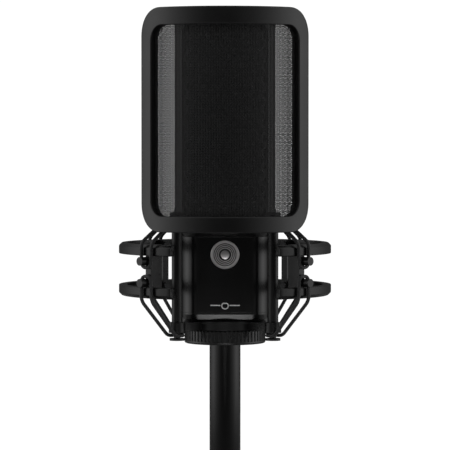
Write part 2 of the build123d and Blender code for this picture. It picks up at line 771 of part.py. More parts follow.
plate_half, film_t, rim_t = 2.6, 0.3, 1.8
save(disc(-plate_half, 2 * plate_half, capsule_r), "backplate")
save(disc(-plate_half - film_t, film_t, capsule_r - 0.2), "diaphragm")
save(disc(-plate_half - film_t - rim_t, rim_t, capsule_r, capsule_r - 3.6), "capsule_front_ring")
save(disc(plate_half, rim_t, capsule_r, capsule_r - 3.6), "capsule_rear_ring")

with BuildPart() as capsule_screws:
    for step in range(8):
        a = radians(45.0 * step)
        x = (capsule_r - 1.9) * cos(a)
        z = capsule_z + (capsule_r - 1.9) * sin(a)
        y = MIC_Y - plate_half - film_t - rim_t
        with BuildSketch(Plane((x, y - 0.7, z), x_dir=(1, 0, 0), z_dir=(0, 1, 0))):
            Circle(1.1)
        extrude(amount=0.7)
        with BuildSketch(Plane((x, y, z), x_dir=(1, 0, 0), z_dir=(0, 1, 0))):
            Circle(0.6)
        extrude(amount=2 * plate_half + film_t + 2 * rim_t)
save(capsule_screws.part, "capsule_screws")

deck_z, deck_t, damper_h = 150.0, 2.0, 4.0
stem_w = 7.0

with BuildPart() as capsule_pedestal:
    with BuildSketch(Plane((0, MIC_Y, deck_z + deck_t + damper_h))):
        RectangleRounded(30.0, 16.0, 3.0)
    extrude(amount=2.5)
    with BuildSketch(Plane((0, MIC_Y, deck_z + deck_t + damper_h + 2.5))):
        Rectangle(stem_w, 4.4)
    extrude(amount=capsule_z - capsule_r - deck_z - deck_t - damper_h)
    with BuildSketch(Plane((0, MIC_Y - 3.6, capsule_z - capsule_r + 1.0), x_dir=(1, 0, 0), z_dir=(0, 1, 0))):
        Rectangle(20.0, 6.0)
    extrude(amount=7.2)
    with BuildSketch(Plane((0, MIC_Y - 10, capsule_z), x_dir=(1, 0, 0), z_dir=(0, 1, 0))):
        Circle(capsule_r + 0.02)
    extrude(amount=20, mode=Mode.SUBTRACT)
save(capsule_pedestal.part, "capsule_pedestal")

with BuildPart() as isolation_dampers:
    for x in (-11.0, 11.0):
        with BuildSketch(Plane((x, MIC_Y, deck_z + deck_t))):
            Circle(3.4)
        extrude(amount=damper_h)
save(isolation_dampers.part, "isolation_dampers")


# ---------------------------------------------------------------- chassis and electronics
rail_x, rail_t = 20.0, 1.5

with BuildPart() as chassis:
    with BuildSketch(Plane((0, MIC_Y, deck_z))):
        RectangleRounded(2 * rail_x, 26.0, 4.0)
    extrude(amount=deck_t)
    for side in (-1, 1):
        with BuildSketch(Plane((side * (rail_x - rail_t / 2), MIC_Y, cap_top))):
            Rectangle(rail_t, 12.0)
        extrude(amount=deck_z - cap_top)
save(chassis.part, "chassis")

board_low, board_high, board_t = 112.0, 148.0, 1.6
board_x = rail_x - rail_t - 0.02
board_front = MIC_Y - board_t / 2

with BuildPart() as circuit_board:
    with BuildSketch(Plane((0, board_front, (board_low + board_high) / 2), x_dir=(1, 0, 0), z_dir=(0, 1, 0))):
        Rectangle(2 * board_x, board_high - board_low)
    extrude(amount=board_t)
save(circuit_board.part, "circuit_board")

with BuildPart() as board_parts:
    for x, z, r, h in ((-11, 141, 3.2, 9.0), (-3, 141, 2.5, 7.0), (6, 142, 2.5, 7.0), (13, 141, 3.0, 8.0)):
        with BuildSketch(Plane((x, board_front, z), x_dir=(1, 0, 0), z_dir=(0, -1, 0))):
            Circle(r)
        extrude(amount=h)
    for x in (-12.0, -4.0, 4.0, 12.0):
        with BuildSketch(Plane((x, board_front, 131.0), x_dir=(1, 0, 0), z_dir=(0, -1, 0))):
            RectangleRounded(5.0, 7.0, 0.8)
        extrude(amount=4.0)
    with BuildSketch(Plane((0, board_front, 119.5), x_dir=(1, 0, 0), z_dir=(0, -1, 0))):
        RectangleRounded(20.0, 12.0, 1.0)
    extrude(amount=10.0)
save(board_parts.part, "board_parts")
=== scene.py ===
import bpy, bmesh, math
from math import sin, cos, pi, radians
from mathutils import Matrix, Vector


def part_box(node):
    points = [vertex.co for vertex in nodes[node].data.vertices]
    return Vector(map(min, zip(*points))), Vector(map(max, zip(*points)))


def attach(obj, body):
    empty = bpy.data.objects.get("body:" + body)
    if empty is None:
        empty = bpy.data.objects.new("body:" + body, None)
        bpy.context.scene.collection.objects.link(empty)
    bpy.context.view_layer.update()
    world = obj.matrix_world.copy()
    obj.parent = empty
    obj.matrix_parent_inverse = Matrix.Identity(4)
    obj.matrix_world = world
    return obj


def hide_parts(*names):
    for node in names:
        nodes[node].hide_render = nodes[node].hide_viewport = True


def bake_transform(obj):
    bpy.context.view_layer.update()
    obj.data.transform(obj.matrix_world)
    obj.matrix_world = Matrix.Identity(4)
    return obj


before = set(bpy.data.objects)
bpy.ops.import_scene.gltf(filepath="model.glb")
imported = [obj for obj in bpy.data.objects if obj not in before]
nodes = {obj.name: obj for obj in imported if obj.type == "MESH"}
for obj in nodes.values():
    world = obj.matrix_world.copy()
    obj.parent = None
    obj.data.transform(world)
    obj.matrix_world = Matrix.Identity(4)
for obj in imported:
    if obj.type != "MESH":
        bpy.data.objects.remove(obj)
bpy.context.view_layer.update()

mm = 0.001
print("frame loaded,", len(nodes), "nodes")


# places worked out from the frame
def middle(node):
    low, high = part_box(node)
    return (Vector(low) + Vector(high)) / 2


def lowest(node):
    return Vector(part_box(node)[0])


def highest(node):
    return Vector(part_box(node)[1])


micAxis = middle("lock_collar")  # the microphone's own upright axis
micAxis.z = 0
ringMiddle = (lowest("lower_ring").z + highest("upper_ring").z) / 2


# camera
camera = {"distance": 1500 * mm, "side": 0.0 * mm, "above": 71.5 * mm, "aimAbove": 25.1 * mm, "lens": 207}

def addCamera():
    data = bpy.data.cameras.new("camera")
    data.lens = camera["lens"]
    data.sensor_width = 36
    data.clip_end = 50
    data.clip_start = 0.05
    place = bpy.data.objects.new("camera", data)
    bpy.context.scene.collection.objects.link(place)
    eye = Vector((camera["side"], micAxis.y - camera["distance"], ringMiddle + camera["above"]))
    aim = Vector((camera["side"], micAxis.y, ringMiddle + camera["aimAbove"]))
    place.location = eye
    place.rotation_euler = (aim - eye).to_track_quat("-Z", "Y").to_euler()
    bpy.context.scene.camera = place

addCamera()


# room: white for the camera, and for the object a sweep that is dark in front and bright at the sides
room = {"floorRadius": 0.42, "floorDrop": 0.5 * mm, "floorTone": 0.16, "floorGlow": 0.96, "floorBounce": 0.05,
        "backdrop": 1.05, "sweep": 1.5, "under": 0.75, "over": 0.42}
# brightness from behind the camera, past the sides, to the far wall
sweepTones = [(0.0, 0.015), (0.055, 0.06), (0.155, 0.20), (0.35, 0.66), (0.5, 1.0), (0.6, 0.80),
              (0.8, 0.17), (0.93, 0.045), (1.0, 0.04)]

def addRoom():
    world = bpy.data.worlds.new("room")
    bpy.context.scene.world = world
    world.use_nodes = True
    tree = world.node_tree
    tree.nodes.clear()
    link = tree.links.new
    out = tree.nodes.new("ShaderNodeOutputWorld")
    seen = tree.nodes.new("ShaderNodeBackground")
    seen.inputs["Color"].default_value = (1, 1, 1, 1)
    seen.inputs["Strength"].default_value = room["backdrop"]
    around = tree.nodes.new("ShaderNodeBackground")
    around.inputs["Strength"].default_value = room["sweep"]
    coords = tree.nodes.new("ShaderNodeTexCoord")
    split = tree.nodes.new("ShaderNodeSeparateXYZ")
    link(coords.outputs["Generated"], split.inputs[0])

    def heightSpan(low, high):
        span = tree.nodes.new("ShaderNodeMapRange")
        span.interpolation_type = "SMOOTHSTEP"
        span.inputs["From Min"].default_value = low
        span.inputs["From Max"].default_value = high
        link(split.outputs["Z"], span.inputs["Value"])
        return span.outputs["Result"]

    depth = tree.nodes.new("ShaderNodeMapRange")
    depth.inputs["From Min"].default_value = -1
    link(split.outputs["Y"], depth.inputs["Value"])
    ramp = tree.nodes.new("ShaderNodeValToRGB")
    ramp.color_ramp.interpolation = "B_SPLINE"
    for i, (place, tone) in enumerate(sweepTones):
        stop = ramp.color_ramp.elements[i] if i < 2 else ramp.color_ramp.elements.new(place)
        stop.position = place
        stop.color = (tone, tone, tone, 1)
    link(depth.outputs["Result"], ramp.inputs["Fac"])
    colour = ramp.outputs["Color"]
    for low, high, tone in ((-0.30, -0.75, room["under"]), (0.35, 0.85, room["over"])):
        mix = tree.nodes.new("ShaderNodeMix")
        mix.data_type = "RGBA"
        link(heightSpan(low, high), mix.inputs["Factor"])
        link(colour, mix.inputs["A"])
        mix.inputs["B"].default_value = (tone, tone, tone, 1)
        colour = mix.outputs["Result"]
    link(colour, around.inputs["Color"])
    pathInfo = tree.nodes.new("ShaderNodeLightPath")
    choose = tree.nodes.new("ShaderNodeMixShader")
    link(pathInfo.outputs["Is Camera Ray"], choose.inputs["Fac"])
    link(around.outputs[0], choose.inputs[1])
    link(seen.outputs[0], choose.inputs[2])
    link(choose.outputs[0], out.inputs["Surface"])

    below = lowest("tube_socket").z - room["floorDrop"]
    bpy.ops.mesh.primitive_circle_add(vertices=96, radius=room["floorRadius"], fill_type="NGON",
                                      location=(0, micAxis.y / 2, below))
    floor = bpy.context.object
    floor.name = "floor"
    paper = bpy.data.materials.new("floorPaper")
    paper.use_nodes = True
    shade = paper.node_tree.nodes["Principled BSDF"]
    shade.inputs["Base Color"].default_value = (room["floorTone"],) * 3 + (1,)
    shade.inputs["Roughness"].default_value = 0.9
    shade.inputs["Emission Color"].default_value = (1, 1, 1, 1)
    cameraOnly = paper.node_tree.nodes.new("ShaderNodeLightPath")
    glow = paper.node_tree.nodes.new("ShaderNodeMapRange")
    glow.inputs["To Min"].default_value = room["floorBounce"]
    glow.inputs["To Max"].default_value = room["floorGlow"]
    paper.node_tree.links.new(cameraOnly.outputs["Is Camera Ray"], glow.inputs["Value"])
    paper.node_tree.links.new(glow.outputs["Result"], shade.inputs["Emission Strength"])
    floor.data.materials.append(paper)


# low lamp in front, which picks out the undersides
lowLight = {"watts": 0.022, "across": 0.26, "deep": 0.06, "ahead": 0.165, "height": 12 * mm, "spread": 42}


def addLowLight():
    data = bpy.data.lights.new("lowLight", "AREA")
    data.shape = "RECTANGLE"
    data.size, data.size_y = lowLight["across"], lowLight["deep"]
    data.energy = lowLight["watts"]
    data.spread = radians(lowLight["spread"])
    lamp = bpy.data.objects.new("lowLight", data)
    bpy.context.scene.collection.objects.link(lamp)
    foot = Vector((0, lowest("base_cap").y, lowest("base_cap").z))
    lamp.location = foot + Vector((0, -lowLight["ahead"], lowLight["height"] - foot.z))
    lamp.rotation_euler = (foot - lamp.location).to_track_quat("-Z", "Y").to_euler()


addLowLight()
addRoom()
bpy.context.scene.view_settings.view_transform = "Standard"
bpy.context.scene.view_settings.look = "None"
print("camera, room and lights placed")


# finishes
def newMaterial(name):
    m = bpy.data.materials.new(name)
    m.use_nodes = True
    return m, m.node_tree, m.node_tree.nodes["Principled BSDF"]


# fine bump from noise, with rounded edges underneath it
def grainInto(tree, shade, scale, depth, edge=None):
    coords = tree.nodes.new("ShaderNodeTexCoord")
    noise = tree.nodes.new("ShaderNodeTexNoise")
    noise.inputs["Scale"].default_value = scale
    noise.inputs["Detail"].default_value = 4
    bump = tree.nodes.new("ShaderNodeBump")
    bump.inputs["Distance"].default_value = depth
    tree.links.new(coords.outputs["Object"], noise.inputs["Vector"])
    tree.links.new(noise.outputs["Fac"], bump.inputs["Height"])
    if edge:
        soft = tree.nodes.new("ShaderNodeBevel")
        soft.samples = 4
        soft.inputs["Radius"].default_value = edge
        tree.links.new(soft.outputs["Normal"], bump.inputs["Normal"])
    tree.links.new(bump.outputs["Normal"], shade.inputs["Normal"])
    return noise


# a finish value or colour that wanders a little over the surface
def varied(tree, noise, shade, socket, low, high):
    ramp = tree.nodes.new("ShaderNodeValToRGB")
    ramp.color_ramp.elements[0].position = 0.35
    ramp.color_ramp.elements[1].position = 0.65
    ramp.color_ramp.elements[0].color = (*low, 1)
    ramp.color_ramp.elements[1].color = (*high, 1)
    tree.links.new(noise.outputs["Fac"], ramp.inputs["Fac"])
    tree.links.new(ramp.outputs["Color"], shade.inputs[socket])


def grey(v):
    return (v, v, v * 1.03)


# sprayed or anodised black: fine texture, slow change in tone and gloss, softened edges
def paint(name, tone, rough, grain=2600, depth=0.000012, metallic=0.0, edge=0.0004, spread=0.12, gloss=0.5):
    m, tree, shade = newMaterial(name)
    shade.inputs["Metallic"].default_value = metallic
    shade.inputs["Specular IOR Level"].default_value = gloss
    grainInto(tree, shade, grain, depth, edge=edge)
    coords = tree.nodes.new("ShaderNodeTexCoord")
    slow = tree.nodes.new("ShaderNodeTexNoise")
    slow.inputs["Scale"].default_value = 60
    slow.inputs["Detail"].default_value = 6
    tree.links.new(coords.outputs["Object"], slow.inputs["Vector"])
    varied(tree, slow, shade, "Base Color", grey(tone * (1 - spread)), grey(tone * (1 + spread)))
    varied(tree, slow, shade, "Roughness", (rough * 0.94,) * 3, (rough * 1.06,) * 3)
    return m


finish = {
    "shell": paint("shellPaint", 0.003, 0.22),
    "pop": paint("popFramePaint", 0.004, 0.36, grain=3200, depth=0.00001, edge=0),
    "frame": paint("ringPaint", 0.003, 0.28, gloss=0.36),
    "cradle": paint("cradleAnodised", 0.004, 0.28, gloss=0.4, grain=4200, depth=0.000006),
    "collar": paint("collarAnodised", 0.005, 0.26, grain=4200, depth=0.000006, edge=0.00012),
    "tube": paint("tubePaint", 0.002, 0.24, grain=900, depth=0.000008, gloss=0.4),
    "screws": paint("blackenedSteel", 0.03, 0.35, metallic=0.8, grain=5000, depth=0.000004, edge=0.0002),
    "plastic": paint("mouldedPlastic", 0.007, 0.5, grain=5200, depth=0.00002, edge=0.0003),
    "rubber": paint("rubberPad", 0.006, 0.75, grain=3000, depth=0.00003, edge=0.0002),
    "wire": paint("wirePaint", 0.006, 0.45, grain=9000, depth=0.000002, edge=0),
    "grille": paint("grillePaint", 0.006, 0.4, grain=6000, depth=0.000004, edge=0),
    "steel": paint("plainSteel", 0.45, 0.3, metallic=1.0, grain=1800, depth=0.000004, edge=0.0002),
    "gold": paint("goldFlash", 0.5, 0.25, metallic=1.0, grain=2200, depth=0.000003, edge=0.0001),
}
for n in finish["gold"].node_tree.nodes:
    if n.type == "VALTORGB" and n.outputs[0].links[0].to_socket.name == "Base Color":
        n.color_ramp.elements[0].color = (0.72, 0.47, 0.17, 1)
        n.color_ramp.elements[1].color = (0.85, 0.60, 0.26, 1)


def boardLaminate():
    m, tree, shade = newMaterial("boardLaminate")
    noise = grainInto(tree, shade, 900, 0.00002)
    varied(tree, noise, shade, "Base Color", (0.012, 0.07, 0.03), (0.02, 0.11, 0.05))
    shade.inputs["Roughness"].default_value = 0.35
    return m


def screenWeave():  # dark inner gauze, woven in two directions
    m, tree, shade = newMaterial("screenWeave")
    coords = tree.nodes.new("ShaderNodeTexCoord")
    height = None
    for axis in ((1, 1, 0), (0, 0, 1)):
        aim = tree.nodes.new("ShaderNodeVectorMath")
        aim.operation = "DOT_PRODUCT"
        aim.inputs[1].default_value = [a * 2 * pi / 0.0007 for a in axis]
        wave = tree.nodes.new("ShaderNodeMath")
        wave.operation = "SINE"
        tree.links.new(coords.outputs["Object"], aim.inputs[0])
        tree.links.new(aim.outputs["Value"], wave.inputs[0])
        if height:
            both = tree.nodes.new("ShaderNodeMath")
            both.operation = "MAXIMUM"
            tree.links.new(height.outputs[0], both.inputs[0])
            tree.links.new(wave.outputs[0], both.inputs[1])
            height = both
        else:
            height = wave
    bump = tree.nodes.new("ShaderNodeBump")
    bump.inputs["Distance"].default_value = 0.00012
    tree.links.new(height.outputs[0], bump.inputs["Height"])
    tree.links.new(bump.outputs["Normal"], shade.inputs["Normal"])
    span = tree.nodes.new("ShaderNodeMapRange")
    span.inputs["From Min"].default_value = -1
    span.inputs["To Min"].default_value = 0.35
    span.inputs["To Max"].default_value = 0.55
    tree.links.new(height.outputs[0], span.inputs["Value"])
    tree.links.new(span.outputs["Result"], shade.inputs["Roughness"])
    # painted shade in the hollows between the threads and painted highlight on their crests: the base colour
    # follows the weave height
    tone = tree.nodes.new("ShaderNodeValToRGB")
    tone.color_ramp.elements[0].color = (0.06, 0.06, 0.06, 1)
    tone.color_ramp.elements[1].color = (0.22, 0.22, 0.222, 1)
    tree.links.new(height.outputs[0], tone.inputs["Fac"])
    tree.links.new(tone.outputs["Color"], shade.inputs["Base Color"])
    return m


finish["board"] = boardLaminate()
finish["screen"] = screenWeave()


def braidSleeve():
    m, tree, shade = newMaterial("braidSleeve")
    noise = grainInto(tree, shade, 9000, 0.00002)
    varied(tree, noise, shade, "Base Color", (0.004, 0.004, 0.0045), (0.016, 0.016, 0.017))
    shade.inputs["Roughness"].default_value = 0.62
    shade.inputs["Sheen Weight"].default_value = 0.15
    return m


def badgeNickel():  # satin nickel turned on a lathe, with fine rings
    m, tree, shade = newMaterial("badgeNickel")
    centre = middle("badge")
    coords = tree.nodes.new("ShaderNodeTexCoord")
    shift = tree.nodes.new("ShaderNodeVectorMath")
    shift.operation = "SUBTRACT"
    shift.inputs[1].default_value = centre
    flat = tree.nodes.new("ShaderNodeVectorMath")
    flat.operation = "MULTIPLY"
    flat.inputs[1].default_value = (1, 0, 1)
    far = tree.nodes.new("ShaderNodeVectorMath")
    far.operation = "LENGTH"
    turns = tree.nodes.new("ShaderNodeTexNoise")
    turns.noise_dimensions = "1D"
    turns.inputs["Scale"].default_value = 5200
    turns.inputs["Detail"].default_value = 2
    bump = tree.nodes.new("ShaderNodeBump")
    bump.inputs["Distance"].default_value = 0.00001
    link = tree.links.new
    link(coords.outputs["Object"], shift.inputs[0])
    link(shift.outputs["Vector"], flat.inputs[0])
    link(flat.outputs["Vector"], far.inputs[0])
    link(far.outputs["Value"], turns.inputs["W"])
    link(turns.outputs["Fac"], bump.inputs["Height"])
    link(bump.outputs["Normal"], shade.inputs["Normal"])
    varied(tree, turns, shade, "Base Color", (0.50, 0.49, 0.49), (0.66, 0.64, 0.64))
    varied(tree, turns, shade, "Roughness", (0.34,) * 3, (0.46,) * 3)
    shade.inputs["Metallic"].default_value = 1.0
    return m


def printInk():
    m, tree, shade = newMaterial("printInk")
    noise = grainInto(tree, shade, 6000, 0.000004)
    varied(tree, noise, shade, "Base Color", (0.60, 0.60, 0.60), (0.72, 0.72, 0.72))
    shade.inputs["Roughness"].default_value = 0.6
    return m


finish["braid"] = braidSleeve()
finish["badge"] = badgeNickel()
finish["ink"] = printInk()

postCorners = ("front_left", "front_right", "rear_left", "rear_right")
carried = {
    "shell": ["base_cap", "body_shell", "head_frame"],
    "frame": ["column_" + s for s in postCorners] + ["yoke", "swivel_base"],
    "pop": ["pop_rear_frame"],
    "cradle": ["cradle_hub", "connector_sleeve"] + ["post_" + s for s in postCorners],
    "collar": ["lock_collar"],
    "tube": ["stand_tube", "tube_socket", "tube_stud"],
    "screws": ["base_screws", "frame_screws", "pivot_bolt", "post_caps"],
    "plastic": ["switch_plate", "connector_insert", "tension_knob", "pad_switch", "low_cut_switch",
                "capsule_pedestal", "board_parts"],
    "rubber": ["isolation_dampers", "seat_pad"],
    "screen": ["inner_screen"],
    "board": ["circuit_board"],
    "steel": ["capsule_screws", "backplate", "chassis", "pop_magnets"],
    "gold": ["contact_pins", "diaphragm", "capsule_front_ring", "capsule_rear_ring"],
}
for look, members in carried.items():
    for member in members:
        mesh = nodes[member].data
        mesh.materials.clear()
        mesh.materials.append(finish[look])
print("finishes on the carried-over pieces")


# mesh helpers
def meshPiece(name, verts, faces, look, smooth=True):
    data = bpy.data.meshes.new(name)
    data.from_pydata(verts, [], faces)
    data.validate()
    piece = bpy.data.objects.new(name, data)
    bpy.context.scene.collection.objects.link(piece)
    data.materials.append(finish[look])
    if smooth:
        data.polygons.foreach_set("use_smooth", [True] * len(data.polygons))
    fixNormals(data)
    return piece


def fixNormals(data):
    bm = bmesh.new()
    bm.from_mesh(data)
    bmesh.ops.recalc_face_normals(bm, faces=bm.faces)
    bm.to_mesh(data)
    bm.free()


def gridFaces(rows, columns, closeRows=False, closeColumns=False):
    faces = []
    for i in range(rows if closeRows else rows - 1):
        for j in range(columns if closeColumns else columns - 1):
            a, b = i * columns, (i + 1) % rows * columns
            k = (j + 1) % columns
            faces.append((a + j, a + k, b + k, b + j))
    return faces


def sharpen(piece, angle=35):  # keeps flat faces flat and round ones smooth
    bpy.context.view_layer.objects.active = piece
    piece.select_set(True)
    bpy.ops.object.shade_smooth_by_angle(angle=radians(angle))
    piece.select_set(False)


# pop filter frame: a rounded window frame wrapped on a cylinder, with broken edges
pop = {"bevel": 0.6 * mm, "steps": 5, "cornerSteps": 14, "sideSteps": 24, "corner": 16 * mm,
       "windowCorner": 8.5 * mm, "barSide": 9.2 * mm, "barTop": 10 * mm, "barLow": 9 * mm,
       "deep": 3.2 * mm, "arcCentre": 8 * mm}
popAxis = Vector((0, micAxis.y - pop["arcCentre"], 0))
popOut = popAxis.y - lowest("pop_front_frame").y
popHalf = math.asin(highest("pop_front_frame").x / popOut)
popLow, popHigh = lowest("pop_front_frame").z, highest("pop_front_frame").z


def onArc(angle, radius, z):
    return (popAxis.x + radius * sin(angle), popAxis.y - radius * cos(angle), z)


# points round a rounded rectangle in (arc angle, height), the same number for every size
def roundedOutline(half, low, high, corner):
    out = []
    c = corner / popOut
    corners = [(half - c, high - corner, 0), (-half + c, high - corner, 1),
               (-half + c, low + corner, 2), (half - c, low + corner, 3)]
    for i, (a, z, q) in enumerate(corners):
        for s in range(pop["cornerSteps"]):
            t = pi / 2 * (q + s / (pop["cornerSteps"] - 1))
            out.append((a + c * cos(t), z + corner * sin(t)))
        nextA, nextZ, nextQ = corners[(i + 1) % 4]
        t = pi / 2 * nextQ
        start, end = out[-1], (nextA + c * cos(t), nextZ + corner * sin(t))
        for s in range(1, pop["sideSteps"]):
            f = s / pop["sideSteps"]
            out.append((start[0] + (end[0] - start[0]) * f, start[1] + (end[1] - start[1]) * f))
    return out


def inset(half, low, high, corner, by):
    return roundedOutline(half - by / popOut, low + by, high - by, max(corner - by, 0.5 * mm))


def popFrame():
    outer = (popHalf, popLow, popHigh, pop["corner"])
    windowHalf = popHalf - pop["barSide"] / popOut
    window = (windowHalf, popLow + pop["barLow"], popHigh - pop["barTop"], pop["windowCorner"])
    b, n = pop["bevel"], pop["steps"]
    back = popOut - pop["deep"]
    loops = [(inset(*outer, 0.4 * b), back), (inset(*outer, 0), back + 0.4 * b)]
    for s in range(n + 1):  # rounded front outer edge
        t = pi / 2 * s / n
        loops.append((inset(*outer, b * (1 - cos(t))), popOut - b * (1 - sin(t))))
    edgeA, edgeB = inset(*outer, b), inset(*window, -b)
    for s in range(1, 4):
        f = s / 4
        between = [(p[0] + (q[0] - p[0]) * f, p[1] + (q[1] - p[1]) * f) for p, q in zip(edgeA, edgeB)]
        loops.append((between, popOut))
    for s in range(n + 1):  # rounded front inner edge
        t = pi / 2 * (1 - s / n)
        loops.append((inset(*window, -b * (1 - cos(t))), popOut - b * (1 - sin(t))))
    loops.append((inset(*window, 0), back))
    count = len(loops[0][0])
    verts = [onArc(a, r, z) for points, r in loops for a, z in points]
    piece = meshPiece("popFrontFrame", verts, gridFaces(len(loops), count, True, True), "pop")
    sharpen(piece, 50)
    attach(piece, "pop_filter")
    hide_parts("pop_front_frame")

popFrame()


# woven wire of the pop filter
weave = {"pitch": 0.9 * mm, "wire": 0.187 * mm, "crimp": 0.95, "sides": 4, "edge": 2.6 * mm,
         "midway": 0.15 * mm}


# many thin tubes in one mesh; each line is a list of (point, side direction, up direction)
def wireTubes(lines, radius, sides):
    verts, faces = [], []
    for line in lines:
        base, rows = len(verts), len(line)
        for point, side, up in line:
            for k in range(sides):
                t = 2 * pi * (k + 0.5) / sides
                verts.append(tuple(point[i] + radius * (cos(t) * side[i] + sin(t) * up[i]) for i in range(3)))
        for i in range(rows - 1):
            for k in range(sides):
                a, b = base + i * sides, base + (i + 1) * sides
                faces.append((a + k, a + (k + 1) % sides, b + (k + 1) % sides, b + k))
        faces.append(tuple(base + k for k in reversed(range(sides))))
        faces.append(tuple(base + (rows - 1) * sides + k for k in range(sides)))
    return verts, faces


def insideWindow(a, z, half, low, high, corner):
    c = corner / popOut
    if abs(a) > half or z < low or z > high:
        return False
    dx = (abs(a) - (half - c)) / c
    dz = max(low + corner - z, z - (high - corner)) / corner
    return dx <= 0 or dz <= 0 or dx * dx + dz * dz <= 1


def wovenLayer(node, name, radius, turn):  # turn: how far the wires lean from upright and level
    windowHalf = popHalf - pop["barSide"] / popOut
    half = windowHalf + weave["edge"] / popOut
    low, high = popLow + pop["barLow"] - weave["edge"], popHigh - pop["barTop"] + weave["edge"]
    corner = pop["windowCorner"] + weave["edge"]
    centre, pitch, wire = (low + high) / 2, weave["pitch"], weave["wire"]
    reach = int(math.hypot(half * radius, (high - low) / 2) / pitch) + 1
    lines = []
    for family in range(2):
        lean = turn + family * pi / 2
        for i in range(-reach, reach + 1):
            line = []
            for j in range(-reach, reach + 1):
                along, beside = (j + 0.5) * pitch, (i + 0.5) * pitch
                a = (along * cos(lean) - beside * sin(lean)) / radius
                z = centre + along * sin(lean) + beside * cos(lean)
                if insideWindow(a, z, half, low, high, corner):
                    over = 1 if (i + j + family) % 2 else -1
                    r = radius + weave["crimp"] * wire * over
                    outward = Vector((sin(a), -cos(a), 0))
                    level = Vector((cos(a), sin(a), 0))
                    side = level * -sin(lean) + Vector((0, 0, cos(lean)))
                    line.append((onArc(a, r, z), side, outward))
            if len(line) > 1:
                lines.append(line)
    verts, faces = wireTubes(lines, wire, weave["sides"])
    piece = meshPiece(name, verts, faces, "wire")
    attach(piece, "pop_filter")
    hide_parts(node)
    print(name, len(faces), "faces")

wovenLayer("pop_mesh_front", "popMeshFront", popAxis.y - lowest("pop_mesh_front").y - weave["midway"], 0)
wovenLayer("pop_mesh_rear", "popMeshRear", popAxis.y - lowest("pop_mesh_rear").y - weave["midway"], pi / 4)


# head grilles: round holes in staggered rows, bowed like the head
grilleSheet = {"pitch": 4.8 * mm, "hole": 1.95 * mm, "thick": 1.0 * mm, "segments": 12, "reach": 24.5 * mm,
               "weld": 0.02 * mm}
# solid margin beside the last hole of a long row and of a short row, in pitches across and cell radii up
grilleMargins = [
    [[(0.5, 0), (0.5, 0.5), (1, 0.5), (1, -0.5), (0.5, -0.5)]],
    [[(0.5, 0), (0.5, 0.5), (0.75, 0.75), (1, 1), (1, -1), (0.75, -0.75), (0.5, -0.5)],
     [(1, 1), (1.5, 1), (1.5, -1), (1, -1)]],
]
headHalf = highest("head_frame").x
headFront = {"depth": 47 * mm, "corner": 14 * mm, "bulge": 1.5 * mm, "skin": 0.5 * mm}


# half of the head's front outline, from the middle to the side, as (arc length, x, depth, normal)
def headOutline():
    h, d, c, b = headHalf, headFront["depth"] / 2, headFront["corner"], headFront["bulge"]
    big = (h * h + b * b) / (2 * b)
    points = []
    flatEnd = h - c
    n = 40
    for i in range(n + 1):
        x = flatEnd * i / n
        a = math.asin(x / big)
        points.append((x, d + b - big * (1 - cos(a)), sin(a), cos(a)))
    startA = math.asin(flatEnd / big)
    last = points[-1]
    cx, cy = last[0] - c * sin(startA), last[1] - c * cos(startA)
    for i in range(1, n + 1):
        a = startA + (pi / 2 - startA) * i / n
        points.append((cx + c * sin(a), cy + c * cos(a), sin(a), cos(a)))
    run, out = 0.0, []
    for i, p in enumerate(points):
        if i:
            run += math.dist(p[:2], points[i - 1][:2])
        out.append((run, *p))
    return out

outlineTable = headOutline()


# point on the head's front (facing 1) or back (-1), at arc length s from the middle
def onHead(s, inward, z, facing):
    want, k = abs(s), 0
    while k < len(outlineTable) - 2 and outlineTable[k + 1][0] < want:
        k += 1
    a, b = outlineTable[k], outlineTable[k + 1]
    f = min(1.0, (want - a[0]) / (b[0] - a[0]))
    x, y, nx, ny = (a[i] + (b[i] - a[i]) * f for i in range(1, 5))
    side = 1 if s >= 0 else -1
    return (side * (x - nx * inward), micAxis.y - facing * (y - ny * inward), z)


def grille(node, name, facing):
    low, high = lowest(node).z, highest(node).z
    pitch, hole, seg = grilleSheet["pitch"], grilleSheet["hole"], grilleSheet["segments"]
    rowStep = pitch * math.sqrt(3) / 2
    reach, weld = grilleSheet["reach"], grilleSheet["weld"]
    depthA, depthB = headFront["skin"], headFront["skin"] + grilleSheet["thick"]
    cellR = pitch / math.sqrt(3)
    rows = int((high - low) / rowStep)
    start = (low + high) / 2 - rowStep * (rows - 1) / 2
    verts, faces, seen = [], [], {}

    def corner(s, z, inward):
        z = min(max(z, low), high)
        key = (round(s / weld), round(z / weld), inward)
        if key not in seen:
            seen[key] = len(verts)
            verts.append(onHead(s, inward, z, facing))
        return seen[key]

    for r in range(rows):
        z0 = start + r * rowStep
        shift = pitch / 2 if r % 2 else 0
        for c in range(-7, 8):
            s0 = c * pitch + shift
            if abs(s0) > reach:
                continue
            rim, wall = [], []
            for k in range(seg):
                t = 2 * pi * k / seg
                far = cellR if k % 2 else pitch / 2
                rim.append([corner(s0 + far * cos(t), z0 + far * sin(t), d) for d in (depthA, depthB)])
                wall.append([len(verts), len(verts) + 1])
                verts.append(onHead(s0 + hole * cos(t), depthA, z0 + hole * sin(t), facing))
                verts.append(onHead(s0 + hole * cos(t), depthB, z0 + hole * sin(t), facing))
            for k in range(seg):
                n = (k + 1) % seg
                faces.append((rim[k][0], rim[n][0], wall[n][0], wall[k][0]))
                faces.append((rim[k][1], wall[k][1], wall[n][1], rim[n][1]))
                faces.append((wall[k][0], wall[n][0], wall[n][1], wall[k][1]))
            if abs(s0) + pitch > reach:
                way = 1 if s0 > 0 else -1
                for outline in grilleMargins[1 if shift else 0]:
                    for d in (depthA, depthB):
                        faces.append([corner(s0 + way * pitch * across, z0 + cellR * up, d)
                                      for across, up in outline])
    piece = meshPiece(name, verts, faces, "grille")
    sharpen(piece, 40)
    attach(piece, "microphone")
    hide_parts(node)
    print(name, len(faces), "faces")

